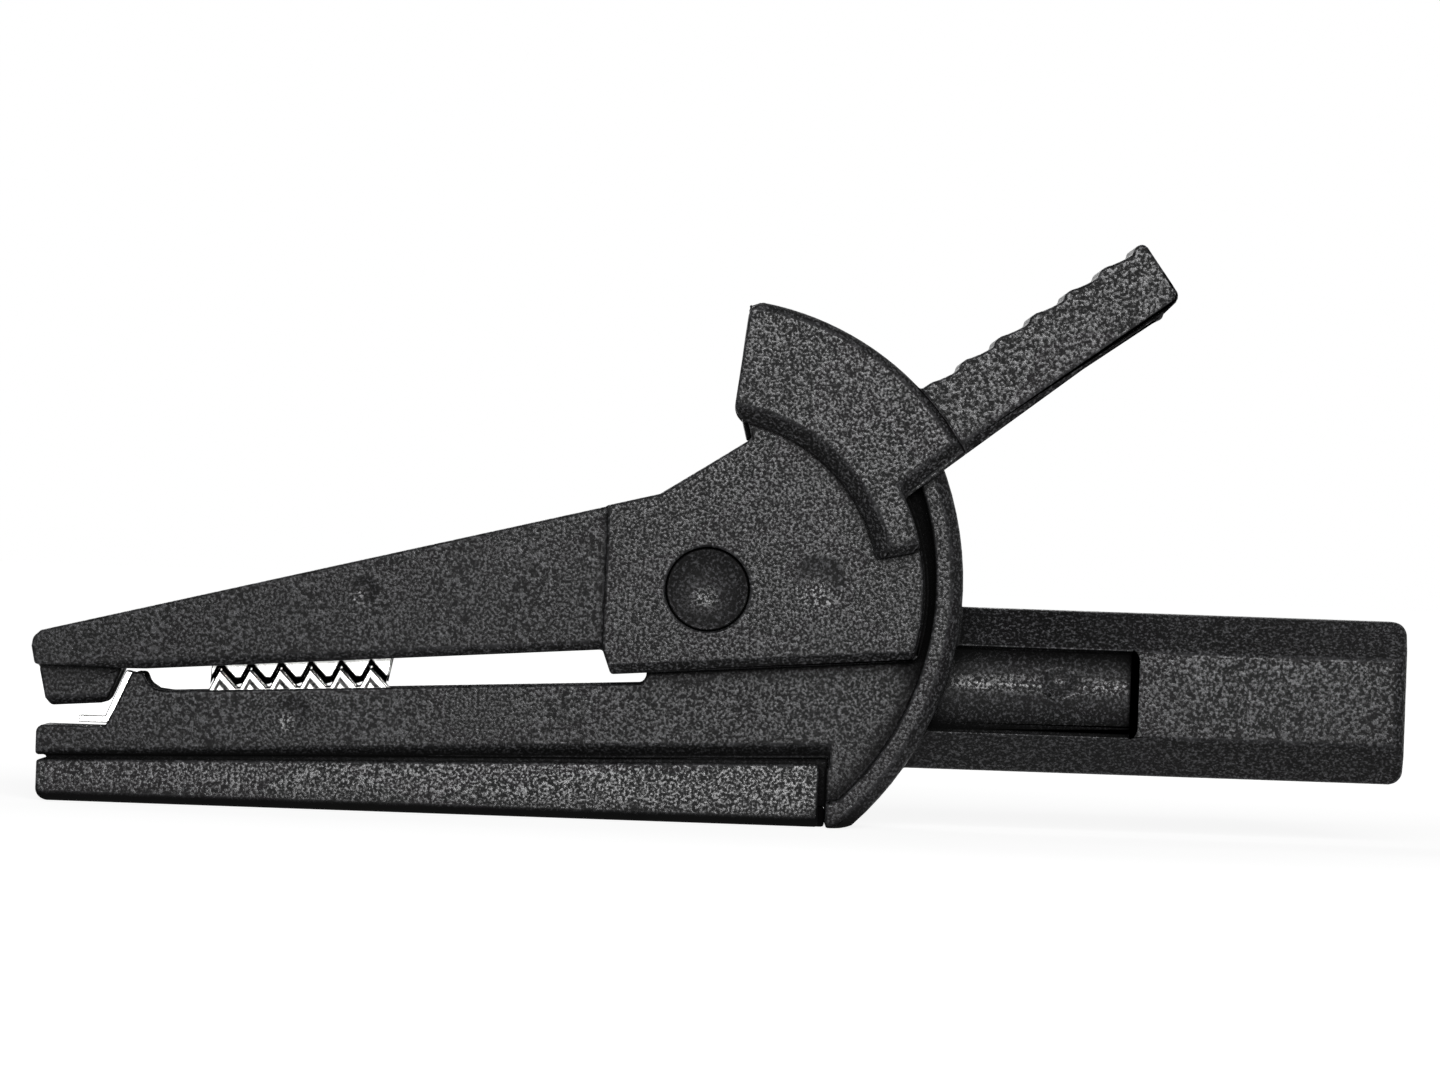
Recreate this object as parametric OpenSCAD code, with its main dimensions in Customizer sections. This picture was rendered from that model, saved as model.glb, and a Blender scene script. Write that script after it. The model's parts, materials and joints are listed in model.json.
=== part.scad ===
// Insulated crocodile clip: toothed sheet-metal jaws inside two moulded jaws, a thumb lever
// over a drum-shaped pivot, and a shrouded 4 mm socket in the handle.
// X runs along the handle, Y across the clip, Z up. The origin is the middle of the underside.

/* [Overall] */
// From the pivot forward to the tip of the upper jaw
jaw_reach = 44.65; // [43.5:0.05:48]
// From the pivot back to the rear end of the handle
handle_reach = 46.5; // [44:0.1:54]
// Height of the pivot above the underside
pivot_height = 15.5; // [15.3:0.1:17]
// How far the upper jaw opens, in degrees
open_angle = 26; // [16:0.5:27]

/* [Lower jaw] */
// How much shorter the lower jaw is than the upper one
lower_tip_setback = 0.45; // [0.2:0.05:1]
// Half width of the lower jaw at its tip
lower_tip_half = 4.1; // [3.9:0.05:4.4]
// Thickness of the side walls
wall = 1.0; // [0.8:0.05:1.2]
// Thickness of the floor
floor_t = 1.2; // [1:0.05:1.3]
// Length of the flat nose in front of the hump
nose_length = 4.9; // [4.4:0.1:5.2]
// Height of the groove above the keel at the tip
groove_height = 0.9; // [0.7:0.05:1.2]

/* [Keel] */
// Half width of the keel at the tip
keel_tip_half = 4.65; // [4.55:0.05:5]
// Half width of the keel at its rear end
keel_root_half = 5.3; // [5.2:0.05:5.8]
// Where the keel ends behind the pivot
keel_end = 7.8; // [6:0.1:8.5]
// Bevel along the lower edges of the keel
keel_bevel = 0.6; // [0.4:0.1:1]
// Lean of the keel's sides, in degrees
keel_lean = 5; // [0:0.5:6]

/* [Drum] */
// Outer radius of the rim that closes the drum
rim_r = 21.6; // [21.2:0.05:21.8]
// Radial width of the rim
rim_width = 1.8; // [1.4:0.05:2]
// Bevel round the rim
rim_bevel = 0.75; // [0.3:0.05:0.9]
// Half width over the rim and the cheeks
rim_half = 7; // [6.6:0.1:7.6]
// Half width over the two drum plates
drum_half = 4.7; // [4.5:0.05:4.8]

/* [Upper jaw] */
// Height of the jaw's top edge above the pivot, carried on to the pivot
jaw_top_rise = 7.0; // [6.8:0.05:7.4]
// Slope of the top edge, in degrees
jaw_top_tilt = 14.3; // [14:0.1:14.6]
// Half width of the upper jaw at its tip
upper_tip_half = 4.9; // [4.7:0.05:5.4]
// Half width of the upper jaw next to the cheeks
upper_root_half = 6.4; // [6:0.05:6.6]
// Thickness of the upper jaw's walls and roof
shell = 1.3; // [1:0.05:1.4]
// Radius of the cheek's rounded rear edge
cheek_r = 14.3; // [13.8:0.05:14.4]
// Radius of the recess over the pivot
pivot_recess_r = 2.8; // [2.6:0.05:3.2]

/* [Thumb lever] */
// Outer radius of the hood
hood_r = 19.3; // [19:0.05:20]
// Thickness of the hood's shell and side skirts
hood_t = 1.2; // [1:0.05:1.3]
// Angle of the thumb pad above the handle, in degrees
pad_angle = 35.5; // [34:0.5:38]
// Thickness of the thumb pad at its end, over the ribs
pad_t = 4.45; // [4.1:0.05:4.6]
// Half width of the thumb pad
pad_half = 7.9; // [6:0.1:8]
// From the pivot to the end of the thumb pad
pad_reach = 36.7; // [36:0.1:38]
// Number of grip ribs on the thumb pad
rib_count = 6; // [3:1:6]
// Distance between the ribs
rib_pitch = 2.76; // [2.4:0.02:2.8]
// Depth of the hollows between the ribs
scallop = 0.3; // [0.2:0.01:0.45]

/* [Contacts] */
// Thickness of the stamped sheet
sheet = 0.45; // [0.35:0.05:0.5]
// Number of teeth on each contact
tooth_count = 6; // [3:1:7]
// Distance between the teeth
tooth_pitch = 2.0; // [1.7:0.05:2.1]
// Depth of the teeth
tooth_depth = 1.15; // [0.9:0.05:1.25]
// From the pivot to the front tooth
teeth_reach = 32.2; // [31:0.1:33]
// Gap between the teeth when the jaws are closed
mesh_gap = 0.18; // [0.12:0.01:0.22]

/* [Pivot and spring] */
// Radius of the axle
axle_r = 1.5; // [1.3:0.05:1.6]
// Radius of the spring's wire
wire_r = 0.45; // [0.35:0.05:0.48]
// Mean radius of the spring's coil
coil_r = 3.0; // [2.8:0.05:3.2]
// Whole turns of the coil
coil_turns = 3; // [2:1:3]

/* [Handle and socket] */
// Width of the handle across its flats
handle_flats = 10.8; // [10.6:0.1:12]
// Chamfer of the handle's long edges
handle_chamfer = 2.55; // [2.4:0.05:2.8]
// Depth of the handle's middle line below the pivot
handle_drop = 6; // [5.8:0.05:6.2]
// Length of the handle's side pockets behind the pivot
pocket_end = 28.6; // [26:0.1:30]
// Radius of the socket's bore for a 4 mm plug
socket_bore_r = 2.02; // [2:0.01:2.05]
// Depth of the socket's bore
socket_depth = 22; // [20:0.1:22]
// Radius of the insulating post round the socket
post_r = 3.3; // [3.2:0.05:3.4]
// Radius of the recess for the plug's shroud
shroud_r = 4.55; // [4.5:0.05:4.6]
// Depth of the recess for the plug's shroud
shroud_depth = 17.6; // [15:0.1:17.8]

/* [Hidden] */
$fn = 64;

// Clearances
seat = 0.05;
run = 0.05;
slide_gap = 0.2;
stop_gap = 1;
cut = 1;
// Overlap that joins two forms of one moulding
bond = 0.2;

// Frame: the pivot's place over the middle of the underside
pivot_x = (jaw_reach - handle_reach) / 2;
half_span = 30;

// Slopes of the jaws' edges, as height at the pivot and tilt
lower_edge_z = -6.2;
lower_edge_tilt = 2.8;
upper_edge_z = -3.71;
upper_edge_tilt = 4.4;
keel_top_z = -11.53;
keel_top_tilt = 1.65;
function lower_edge(x) = lower_edge_z + x * tan(lower_edge_tilt);
function upper_edge(x) = upper_edge_z + x * tan(upper_edge_tilt);
function jaw_top(x) = jaw_top_rise + x * tan(jaw_top_tilt);
function keel_top(x) = keel_top_z + x * tan(keel_top_tilt);
function groove_roof(x) = keel_top(x) + groove_low + (x + lower_tip) * tan(groove_tilt);

// Lower jaw
lower_tip = jaw_reach - lower_tip_setback;
bottom = -pivot_height;
keel_floor = 1.3;
spine_bottom = bottom + keel_floor + seat;
floor_top = spine_bottom + floor_t;
spine_front = lower_tip - 0.7;
spine_wall = 0.25;
groove_sill = 0.3;
groove_low = 0.15;
groove_tilt = 0.33;
groove_bite = 0.05;
groove_tip = 0.41;
root_x = -6;
lower_tip_in = lower_tip_half - wall;
lower_root_in = drum_half - wall;
nose_z = -10.5;
hump_front = -(lower_tip - nose_length) + 0.25;
hump_top = -6.8;
channel_front = hump_front + 0.45;

// Drum: the rim's arc is not centred on the pivot, so the hood's sweep trims its upper part
rim_x = -4.7;
rim_z = 0.5;
rim_in = rim_r - rim_width;
foot_r = 2.9;
hood_in = hood_r - hood_t - 0.15;
sweep_r = hood_in - 0.3;
hub_r = 5.3;
web_angle = 75;
drum_top = web_angle - open_angle - stop_gap;
keel_joint = 0.5;
shoulder_x = keel_end + keel_joint;
plate_front = -3.85;
cheek_in = drum_half + 0.1;

// Upper jaw
roof_normal = 123.3;
roof_d = jaw_top_rise;
roof_in = roof_d - shell;
top_d = jaw_top_rise * cos(jaw_top_tilt);
knee = meet(90 + jaw_top_tilt, top_d, roof_normal, roof_d);
cheek_front = -6.8;
cheek_drop = 1.65;
function cheek_edge(x) = upper_edge(x) - cheek_drop;
cheek_step = 0.35;
step_depth = 0.5;
nose_half = 3.6;
upper_front = -jaw_reach + 5.95;
recess_depth = 1;
cheek_bevel = 0.65;
jaw_bevel = 0.5;
nose_x = -jaw_reach + 1.35;
nose_low = upper_edge(-jaw_reach) - 2.05;

// Thumb lever
skirt_in = rim_half + slide_gap;
skirt_out = skirt_in + hood_t;
skirt_face_r = 12.35;
skirt_r = 11.3;
skirt_round = 1.3;
under_bevel = 0.85;
tail_bevel = 0.6;
hood_bevel = 0.45;
front_lean = 6.9;
front_d = -0.09;
waist_lean = 14.6;
waist_d = 4.7;
pad_taper = 2.5;
under_climb = pad_taper + 1.5;
pad_low = -2.82;
pad_top = pad_under(pad_reach) + pad_t;
function pad_under(s) = pad_low / cos(pad_taper) + s * tan(pad_taper);
// The point of the pad's underside at the distance s along the pad
function on_pad(s) =
  s * [cos(pad_angle), sin(pad_angle)] + pad_under(s) * [-sin(pad_angle), cos(pad_angle)];
tail_low = 12;
tail_out = cheek_r + 0.05;
peg_angle = 55;
peg_at = (skirt_face_r + cheek_r) / 2;
peg_r = 0.7;
peg_l = 0.7;
rib_w = 0.5;

// Stack on the axle, as distances from the middle
spacer_half = 2.2;
upper_ear_in = spacer_half + seat;
upper_ear_out = upper_ear_in + sheet;
washer_in = upper_ear_out + seat;
lower_ear_out = drum_half - wall - seat;
lower_ear_in = lower_ear_out - sheet;
washer_out = lower_ear_in - seat;
axle_half = 5.2;
cap_out = rim_half - recess_depth;
cap_bore = axle_half + 0.1;
ear_r = 3.2;

// Contacts
tongue_half = 1.6;
peak_z = -6.2;
peak_x = -26;
tooth_front = 0.61;
tooth_rear = 1.07;
tooth_run = tooth_depth / 1.15;
contact_floor = floor_top + seat + sheet / 2;
roof_mid = roof_in - seat - sheet / 2;
contact_hide = 0.4;
tongue_end = 9.5;

// Socket
handle_z = -handle_drop;
handle_half = handle_flats / 2;
shoulder_in = 20;
flange_r = 3.8;
flange_t = 1.4;
tube_r = 2.75;
stem_r = 1.9;
stem_front = 10.6;
insert_front = shoulder_in + 2 * seat + flange_t;
tube_end = insert_front + socket_depth;
post_end = tube_end + 1.6;
shroud_in = handle_reach - shroud_depth;
lip_r = 2.3;
rivet_r = 0.8;
rivet_x = 12.2;
stem_flat = handle_z + 0.2;

// Shared helpers

// Long wedge cut off both sides. Its face starts at the point at and rises outwards, leaning
// by lean from upright; it runs along X, climbs by climb and spreads by spread, in degrees.
module shave(at, l, lean, climb = 0, spread = 0) {
  thick = 6;
  for (s = [0, 1])
    mirror([0, s, 0])
      translate(at)
        rotate([0, 0, spread])
          rotate([0, -climb, 0])
            rotate([-lean, 0, 0])
              cube([l, thick, thick]);
}

// Waste outside a round corner of radius r about c, between two directions
module corner_waste(c, r, a0, a1) {
  translate(c)
    difference() {
      fan(a0, a1, 4 * r);
      circle(r = r, $fn = 48);
    }
}

// Waste that bevels both rims of a disc of radius r and half width half
module rim_waste(r, half, bevel) {
  rotate([90, 0, 0])
    rotate_extrude($fn = 180)
      for (s = [-1, 1])
        polygon([
          [r - bevel - cut, s * (half + cut)], [r + cut, s * (half + cut)],
          [r + cut, s * (half - bevel - cut)]
        ]);
}

// A flat side outline in X and Z, made solid over the whole width 2 * half
module side(half) {
  rotate([90, 0, 0])
    linear_extrude(height = 2 * half, center = true)
      children();
}

// The same outline as two plates, from y0 to y1 on both sides
module side_pair(y0, y1) {
  for (s = [-1, 1])
    translate([0, s * (y0 + y1) / 2, 0])
      rotate([90, 0, 0])
        linear_extrude(height = y1 - y0, center = true)
          children();
}

// A long wedge seen from above that narrows from root_w at root_at to tip_w at tip_at
module taper(tip_w, root_w, tip_at = -jaw_reach, root_at = root_x) {
  linear_extrude(height = 2 * half_span, center = true)
    polygon([
      [-jaw_reach - cut, -tip_w], [tip_at, -tip_w], [root_at, -root_w], [handle_reach, -root_w],
      [handle_reach, root_w], [root_at, root_w], [tip_at, tip_w], [-jaw_reach - cut, tip_w]
    ]);
}

// Half width of such a wedge at x
function taper_at(x, tip_w, root_w) =
  root_w + (tip_w - root_w) * max(0, root_x - x) / (root_x + jaw_reach);

// A round bar along Y from y0 to y1
module bar_y(r, y0, y1, x = 0, z = 0) {
  translate([x, y0, z])
    rotate([-90, 0, 0])
      cylinder(r = r, h = y1 - y0);
}

// A round bar along X on the handle's middle line
module bar_x(r, x0, x1) {
  translate([x0, 0, handle_z])
    rotate([0, 90, 0])
      cylinder(r = r, h = x1 - x0);
}

// Flat sector between two polar angles, out to radius r
module fan(a0, a1, r) {
  steps = 6;
  polygon(concat([[0, 0]], [
    for (i = [0 : steps]) let (a = a0 + (a1 - a0) * i / steps) r * [cos(a), sin(a)]
  ]));
}

// Everything on the far side of the line at distance d from the pivot, along normal angle a
module beyond(a, d) {
  rotate(a)
    translate([d, -half_span * 2])
      square([half_span * 3, half_span * 4]);
}

// The point at distance r from the pivot on the line at distance d, along normal angle a
function on_circle(a, d, r) = d * [cos(a), sin(a)] + sqrt(r * r - d * d) * [-sin(a), cos(a)];

// Where two lines meet, each given by its normal angle and its distance from the pivot
function meet(a, d, b, e) = [d * sin(b) - e * sin(a), e * cos(a) - d * cos(b)] / sin(b - a);

// Bent strip of thickness t along the points p, with mitred corners
function unit(v) = v / norm(v);
function left_of(v) = [-v[1], v[0]];
function mitre(p, i, d) =
  let (
    a = left_of(unit(p[max(i, 1)] - p[max(i, 1) - 1])),
    k = min(i, len(p) - 2),
    b = left_of(unit(p[k + 1] - p[k]))
  ) p[i] + d * (a + b) / (1 + a * b);
function strip(p, t) = concat(
  [for (i = [0 : len(p) - 1]) mitre(p, i, t / 2)],
  [for (i = [len(p) - 1 : -1 : 0]) mitre(p, i, -t / 2)]
);

// Row of teeth as seen from the side, front tooth first; the gap between them is the
// same wave raised by mesh_gap
tooth_flat = 0.05;
function tooth(i) =
  let (x = -teeth_reach + i * tooth_pitch, z = peak_z + (x - peak_x) * tan(lower_edge_tilt)) [
    [x - tooth_front * tooth_run, z - tooth_depth],
    [x - tooth_flat, z],
    [x + tooth_flat, z],
    [x + tooth_rear * tooth_run, z - tooth_depth]
  ];
function wave(lift) = [for (i = [0 : tooth_count - 1], p = tooth(i)) p + [0, lift]];
teeth_front = wave(0)[0][0];
teeth_rear = wave(0)[4 * tooth_count - 1][0];

// Lower jaw, drum and handle

module lower_jaw_outline() {
  hump_back = hump_front + 2.7;
  polygon([
    [-lower_tip, keel_top(-lower_tip) + groove_sill],
    [-lower_tip, nose_z - 0.3],
    [-lower_tip + 0.3, nose_z],
    [hump_front - 0.6, nose_z],
    [hump_front, nose_z + 1.2],
    [hump_front + 1.1, hump_top],
    [hump_front + 1.8, hump_top],
    [hump_front + 2.1, hump_top - 0.7],
    [hump_back, lower_edge(hump_back) + 0.1],
    [hump_back + 0.9, lower_edge(hump_back)],
    [plate_front - 0.3, lower_edge(plate_front)],
    [plate_front, lower_edge(plate_front) + 0.5],
    [plate_front, -hub_r * 0.6],
    [0, -hub_r * 0.6],
    [shoulder_x, keel_top(shoulder_x) + groove_sill]
  ]);
}

// The groove over the keel: its roof slopes from the spine up to the wall's face, and the
// groove grows higher to the rear
module groove() {
  root_y = lower_root_in + spine_wall - groove_bite;
  tip_y = lower_tip_half - groove_tip;
  spread = atan((root_y - tip_y) / (root_x + jaw_reach));
  tilt = keel_top_tilt + groove_tilt;
  start = -jaw_reach - cut;
  lap = 0.5;
  shave([start, tip_y - cut * tan(spread), groove_roof(start)], root_x - start + lap, 45, tilt,
    spread);
  shave([root_x - lap, root_y, groove_roof(root_x - lap)], shoulder_x + bond - root_x + lap, 45,
    tilt);
}

module spine_outline() {
  polygon([
    [-spine_front, keel_top(-spine_front) + groove_height],
    [-spine_front, spine_bottom],
    [shoulder_x + cut, spine_bottom],
    [shoulder_x + cut, keel_top(shoulder_x) + groove_height]
  ]);
}

// Disc bounded by the rim's arc, trimmed where the hood sweeps over it and at the underside
module drum_disc(r, low = bottom) {
  intersection() {
    translate([rim_x, rim_z])
      circle(r = r, $fn = 180);
    union() {
      circle(r = sweep_r, $fn = 180);
      translate([-half_span, -half_span])
        square([half_span * 2, half_span]);
    }
    translate([-half_span, low])
      square([half_span * 2, half_span * 2]);
  }
}

// The disc with its lower rear corner rounded into the underside; inside the rim it keeps the
// rim's width all round
module drum_form(r) {
  across = rim_r - foot_r + bond;
  drop = rim_z - bottom - foot_r;
  c = [rim_x + sqrt(across * across - drop * drop), rim_z - drop];
  difference() {
    drum_disc(r, bottom + rim_r - r);
    corner_waste(c, foot_r - (rim_r - r), -90, atan2(c[1] - rim_z, c[0] - rim_x));
  }
}

module drum_plate_outline() {
  intersection() {
    drum_form(rim_in + bond);
    union() {
      fan(-80, drum_top, half_span * 2);
      circle(r = hub_r);
      translate([plate_front, bottom])
        square([half_span, -bottom]);
    }
    union() {
      translate([shoulder_x, bottom])
        square([half_span, half_span * 2]);
      polygon([
        [plate_front - 2, keel_top(plate_front - 2) + groove_sill],
        [shoulder_x + bond, keel_top(shoulder_x) + groove_sill],
        [shoulder_x + bond, half_span],
        [-half_span, half_span]
      ]);
    }
  }
}

module rim_outline() {
  intersection() {
    difference() {
      drum_form(rim_r);
      drum_form(rim_in);
    }
    translate([shoulder_x, bottom])
      square([half_span, half_span * 2]);
    fan(-80, drum_top, half_span * 2);
  }
}

module drum_hollow() {
  intersection() {
    translate([rim_x, rim_z])
      circle(r = rim_in, $fn = 180);
    translate([channel_front, floor_top])
      square([half_span * 2, half_span * 2]);
  }
}

module channel_outline() {
  polygon([
    [channel_front, floor_top],
    [0, floor_top],
    [0, 0],
    [channel_front, 0]
  ]);
}

module handle() {
  start = 11;
  corner = handle_half - handle_chamfer;
  round = 0.9;
  intersection() {
    translate([start, 0, handle_z])
      rotate([90, 0, 90])
        linear_extrude(height = handle_reach - start)
          polygon([
            [-handle_half, -corner], [-corner, -handle_half], [corner, -handle_half],
            [handle_half, -corner], [handle_half, corner], [corner, handle_half],
            [-corner, handle_half], [-handle_half, corner]
          ]);
    translate([0, 0, handle_z])
      side(half_span)
        rounded_end(handle_reach, handle_half, round);
    translate([0, 0, handle_z])
      linear_extrude(height = half_span, center = true)
        rounded_end(handle_reach, handle_half, round);
  }
}

// Flat bar of half width w that ends at x with both corners rounded
module rounded_end(x, w, r) {
  translate([0, -w])
    square([x - r, 2 * w]);
  translate([x - r - cut, -w + r])
    square([r + cut, 2 * (w - r)]);
  for (s = [-1, 1])
    translate([x - r, s * (w - r)])
      circle(r = r, $fn = 32);
}

// Hollow sides of the handle, down to a round floor over the socket
module handle_pockets() {
  floor_r = 4.9;
  difference() {
    translate([0, 0, handle_z])
      side(handle_flats)
        difference() {
          rounded_end(pocket_end, handle_half - handle_chamfer, 0.6);
          square([2 * (rim_x + rim_r - 2), handle_flats], center = true);
        }
    bar_x(floor_r, 0, handle_reach);
  }
}

module lower_housing() {
  color([0.13, 0.13, 0.135])
  difference() {
    union() {
      intersection() {
        side(half_span) {
          lower_jaw_outline();
          drum_plate_outline();
        }
        taper(lower_tip_half, drum_half);
      }
      intersection() {
        side(drum_half) spine_outline();
        taper(lower_tip_in + spine_wall, lower_root_in + spine_wall);
      }
      difference() {
        union() {
          difference() {
            side(rim_half) rim_outline();
            translate([rim_x, 0, rim_z]) rim_waste(rim_r, rim_half, rim_bevel);
          }
          difference() {
            handle();
            handle_pockets();
          }
        }
        side_pair(drum_half, rim_half + cut)
          drum_form(rim_in);
      }
    }
    intersection() {
      side(drum_half) channel_outline();
      taper(lower_tip_in, lower_root_in);
    }
    side(tongue_half + slide_gap)
      translate([hump_front - cut, nose_z])
        square([cut + 2 * bond + channel_front - hump_front, half_span]);
    side(lower_root_in)
      intersection() {
        drum_hollow();
        translate([root_x, bottom])
          square([half_span * 2, half_span * 2]);
      }
    bar_y(axle_r + 0.02, -half_span, half_span);
    bar_x(stem_r + run, 0, shoulder_in + seat);
    bar_x(flange_r + run, shoulder_in, shroud_in + seat);
    bar_x(shroud_r, shroud_in, handle_reach + cut);
    round_marks(-27.3, -9.2, 1.3, taper_at(-27.3, lower_tip_half, drum_half));
    round_marks(23.5, -5.1, 1.15, 4.82, 0.3);
    groove();
  }
}

// Shallow dished marks of radius r on both outer sides, which lie at half from the middle
module round_marks(x, z, r, half, depth = 0.18) {
  ball = (r * r + depth * depth) / (2 * depth);
  for (s = [-1, 1])
    translate([x, s * (half - depth + ball), z])
      sphere(r = ball, $fn = 96);
}

module jaw_keel() {
  run_l = lower_tip + keel_end;
  spread = atan((keel_root_half - keel_tip_half) / run_l);
  flare = cut * tan(spread);
  front = -lower_tip + 0.1;
  front_r = 0.8;
  from = [-lower_tip - cut, keel_tip_half - flare, bottom];
  color([0.14, 0.14, 0.145])
  difference() {
    union() {
      side(keel_root_half + cut)
        difference() {
          polygon([
            [front, keel_top(front)], [front, bottom], [keel_end, bottom],
            [keel_end, keel_top(keel_end)]
          ]);
          corner_waste([front + front_r, bottom + front_r], front_r, -180, -90);
        }
      side(lower_root_in)
        translate([keel_end - cut, bottom])
          square([cut + shoulder_x - keel_end - seat, keel_floor]);
    }
    intersection() {
      side(half_span)
        translate([-spine_front - seat, bottom + keel_floor])
          square([half_span * 2 + spine_front, half_span]);
      taper(lower_tip_in + spine_wall + seat, lower_root_in + spine_wall + seat);
    }
    shave(from - [0, 0, cut * 0.5], run_l + 2 * cut, -keel_lean, 0, spread);
    shave(from - [0, keel_bevel * 1.1, keel_bevel * 0.1], run_l + 2 * cut, 45, 0, spread);
  }
}

// Contacts

module lower_contact() {
  front = channel_front + 0.75;
  hide = contact_hide;
  color([0.85, 0.85, 0.83])
  difference() {
    union() {
      intersection() {
        side(half_span)
          union() {
            polygon(concat(
              [[front, contact_floor - sheet / 2], [front, lower_edge(front) - hide],
               [teeth_front - 0.3, lower_edge(teeth_front) - hide]],
              wave(0),
              [[teeth_rear + 0.4, lower_edge(teeth_rear) - hide], [-ear_r - 0.2, lower_edge(0) - hide],
               [-ear_r, 0], [0, ear_r * 0.6], [ear_r, 0], [ear_r + 3, contact_floor - sheet / 2]]
            ));
            circle(r = ear_r);
          }
        difference() {
          taper(upper_ear_out, lower_ear_out, -20, root_x);
          taper(upper_ear_out - sheet, lower_ear_out - sheet, -20, root_x);
        }
      }
      intersection() {
        side(half_span)
          translate([front, contact_floor - sheet / 2]) square([ear_r + 3 - front, sheet]);
        taper(upper_ear_out, lower_ear_out, -20, root_x);
      }
      side(tongue_half)
        polygon(strip([
          [hump_front - 2.45, nose_z + sheet / 2 + 0.22],
          [hump_front - 0.55, nose_z + sheet / 2 + 0.22],
          [hump_front + 0.72, hump_top - 0.2],
          [front + sheet / 2, hump_top - 0.35],
          [front + sheet / 2, contact_floor]
        ], sheet));
      side(tongue_half)
        polygon(strip([
          [ear_r, contact_floor],
          [keel_end + 0.6, contact_floor],
          [keel_end + 0.6, stem_flat + seat + sheet / 2],
          [stem_front + 2.8, stem_flat + seat + sheet / 2]
        ], sheet));
    }
    bar_y(axle_r + run, -half_span, half_span);
    translate([rivet_x, 0, handle_z])
      cylinder(r = rivet_r + run, h = half_span, center = true, $fn = 32);
  }
}

module upper_contact() {
  front = upper_front + 1.6;
  // The roof sheet runs parallel to both roof lines, inside the moulding
  foot = roof_mid * [cos(roof_normal), sin(roof_normal)];
  along = [sin(roof_normal), -cos(roof_normal)];
  inner_d = top_d - (roof_d - roof_mid);
  bend = meet(90 + jaw_top_tilt, inner_d, roof_normal, roof_mid);
  start = [front, (inner_d - front * cos(90 + jaw_top_tilt)) / sin(90 + jaw_top_tilt)];
  color([0.86, 0.86, 0.84])
  difference() {
    union() {
      side_pair(upper_ear_in, upper_ear_out)
        union() {
          polygon(concat(
            [[-ear_r - 0.5, upper_edge(-ear_r) + contact_hide],
             [teeth_rear + 0.4, upper_edge(teeth_rear) + contact_hide]],
            [for (i = [4 * tooth_count - 1 : -1 : 0]) wave(mesh_gap)[i]],
            [[teeth_front + 0.1, upper_edge(teeth_front) + contact_hide],
             [front, upper_edge(front) + contact_hide],
             start,
             bend,
             foot + along * 3.5,
             [ear_r * 0.9, 0]]
          ));
          circle(r = ear_r);
        }
      side(upper_ear_out)
        polygon(strip([start, bend, foot + along * 3.5], sheet));
      side(tongue_half)
        polygon(strip([foot + along * 3, foot + along * tongue_end], sheet));
    }
    bar_y(axle_r + run, -half_span, half_span);
  }
}

// Socket

module socket_tube() {
  color([0.82, 0.78, 0.62])
  difference() {
    union() {
      bar_x(stem_r, stem_front, insert_front);
      bar_x(flange_r, shoulder_in + seat, shoulder_in + seat + flange_t);
      bar_x(tube_r, shoulder_in + seat, tube_end);
    }
    bar_x(socket_bore_r, insert_front + 0.4, tube_end + cut);
    translate([stem_front - cut, -half_span / 2, stem_flat])
      cube([cut + 3.2, half_span, half_span / 4]);
    translate([rivet_x, 0, handle_z])
      cylinder(r = rivet_r + run, h = half_span, center = true, $fn = 32);
  }
}

module socket_insert() {
  color([0.12, 0.12, 0.12])
  difference() {
    union() {
      bar_x(flange_r, insert_front, shroud_in);
      bar_x(post_r, insert_front, post_end);
    }
    bar_x(tube_r + run, insert_front - cut, tube_end + seat);
    bar_x(lip_r, tube_end, post_end + cut);
  }
}

module tongue_rivet() {
  head = 0.5;
  top = stem_flat + seat + sheet + 0.02;
  low = handle_z - stem_r;
  color([0.75, 0.75, 0.74])
  translate([rivet_x, 0, 0]) {
    translate([0, 0, low])
      cylinder(r = rivet_r, h = top - low + head / 2, $fn = 32);
    translate([0, 0, top])
      intersection() {
        cylinder(r = 1.35, h = head, $fn = 32);
        translate([0, 0, -1.6]) sphere(r = 2.1, $fn = 32);
      }
  }
}

// Pivot

module axle() {
  bevel = 0.2;
  color([0.62, 0.62, 0.62])
  rotate([90, 0, 0])
    rotate_extrude()
      polygon([
        [0, -axle_half], [axle_r - bevel, -axle_half], [axle_r, -axle_half + bevel],
        [axle_r, axle_half - bevel], [axle_r - bevel, axle_half], [0, axle_half]
      ]);
}

module axle_washers() {
  washer_r = ear_r - 0.2;
  color([0.66, 0.66, 0.66])
  for (s = [-1, 1])
    translate([0, s * (washer_in + washer_out) / 2, 0])
      rotate([90, 0, 0])
        difference() {
          cylinder(r = washer_r, h = washer_out - washer_in, center = true);
          cylinder(r = axle_r + run, h = cut * 2, center = true);
        }
}

module axle_spacer() {
  spacer_wall = 0.55;
  color([0.7, 0.7, 0.68])
  rotate([90, 0, 0])
    difference() {
      cylinder(r = axle_r + run + spacer_wall, h = 2 * spacer_half, center = true);
      cylinder(r = axle_r + run, h = 3 * spacer_half, center = true);
    }
}

// Cap that closes the cheek's recess and turns on the axle's end: a flange round a boss with
// a dished face; it is made for +Y
module pivot_cap() {
  dish = 0.45;
  boss_r = pivot_recess_r - 0.4;
  edge = 0.2;
  dish_r = (pow(boss_r - edge, 2) + dish * dish) / (2 * dish);
  difference() {
    union() {
      bar_y(pivot_recess_r - seat, cheek_in + seat, cheek_in + 0.45);
      bar_y(boss_r, cheek_in + seat, cap_out);
    }
    bar_y(axle_r + run, 0, cap_bore);
    translate([0, cap_out + dish_r - dish, 0])
      sphere(r = dish_r, $fn = 96);
  }
}

module pivot_cap_near() {
  color([0.1, 0.1, 0.1])
  mirror([0, 1, 0]) pivot_cap();
}

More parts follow.
